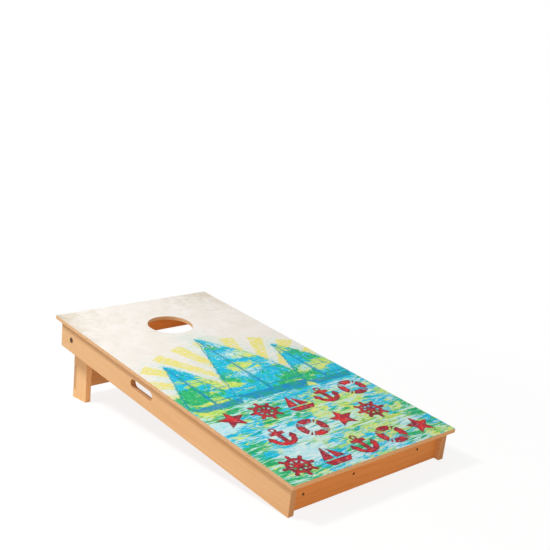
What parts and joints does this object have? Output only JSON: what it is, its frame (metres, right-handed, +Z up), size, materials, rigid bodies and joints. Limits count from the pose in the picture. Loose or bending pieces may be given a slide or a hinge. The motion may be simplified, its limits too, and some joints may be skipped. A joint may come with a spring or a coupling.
{
  "type": "cornhole board",
  "caption": "Wooden cornhole board: sloping printed plywood deck with a round bag hole, box frame with handle slots, and a leg frame that folds flat under the deck.",
  "frame": {"origin": "on the ground under the middle of the standing board's overall box", "axes": "+Z up, +Y towards the raised back edge with the hole, +X to the right of a player who faces the board"},
  "size_m": [0.6096, 1.2052, 0.295],
  "materials": {
    "deck_ply": "clear-coated plywood edge",
    "deck_print": "satin printed skin with a worn nautical picture",
    "rail_wood": "smooth honey-stained softwood",
    "leg_wood": "smooth honey-stained softwood",
    "inner_wood": "smooth honey-stained softwood",
    "black_steel": "black oxide",
    "zinc_steel": "bright zinc plate"
  },
  "bodies": {
    "board": {"deck": "deck_ply", "deck_graphic": "deck_print", "side_rail_left": "rail_wood", "side_rail_right": "rail_wood", "front_rail": "rail_wood", "back_rail": "rail_wood", "centre_rail": "inner_wood", "corner_post_left": "inner_wood", "corner_post_right": "inner_wood", "front_glue_blocks": "inner_wood", "deck_cleat_left": "inner_wood", "deck_cleat_right": "inner_wood", "pivot_block_left": "inner_wood", "pivot_block_right": "inner_wood", "pivot_bolt_left": "black_steel", "pivot_bolt_right": "black_steel", "inner_washer_left": "zinc_steel", "inner_washer_right": "zinc_steel", "nut_washer_left": "zinc_steel", "nut_washer_right": "zinc_steel", "lock_nut_left": "zinc_steel", "lock_nut_right": "zinc_steel", "front_rail_screws": "black_steel", "corner_post_screws": "zinc_steel", "pivot_block_screws": "zinc_steel", "back_rail_screws": "zinc_steel", "centre_rail_screws": "zinc_steel", "cleat_screws": "zinc_steel"},
    "leg_frame": {"leg_left": "leg_wood", "leg_right": "leg_wood", "leg_brace": "leg_wood", "brace_screws": "zinc_steel"}
  },
  "joints": [
    {"name": "leg_fold", "type": "hinge", "parent": "board", "child": "leg_frame", "pos_m": [0, 0.52091, 0.22317], "axis": [-1, 0, 0], "range_deg": [0, 90]}
  ]
}
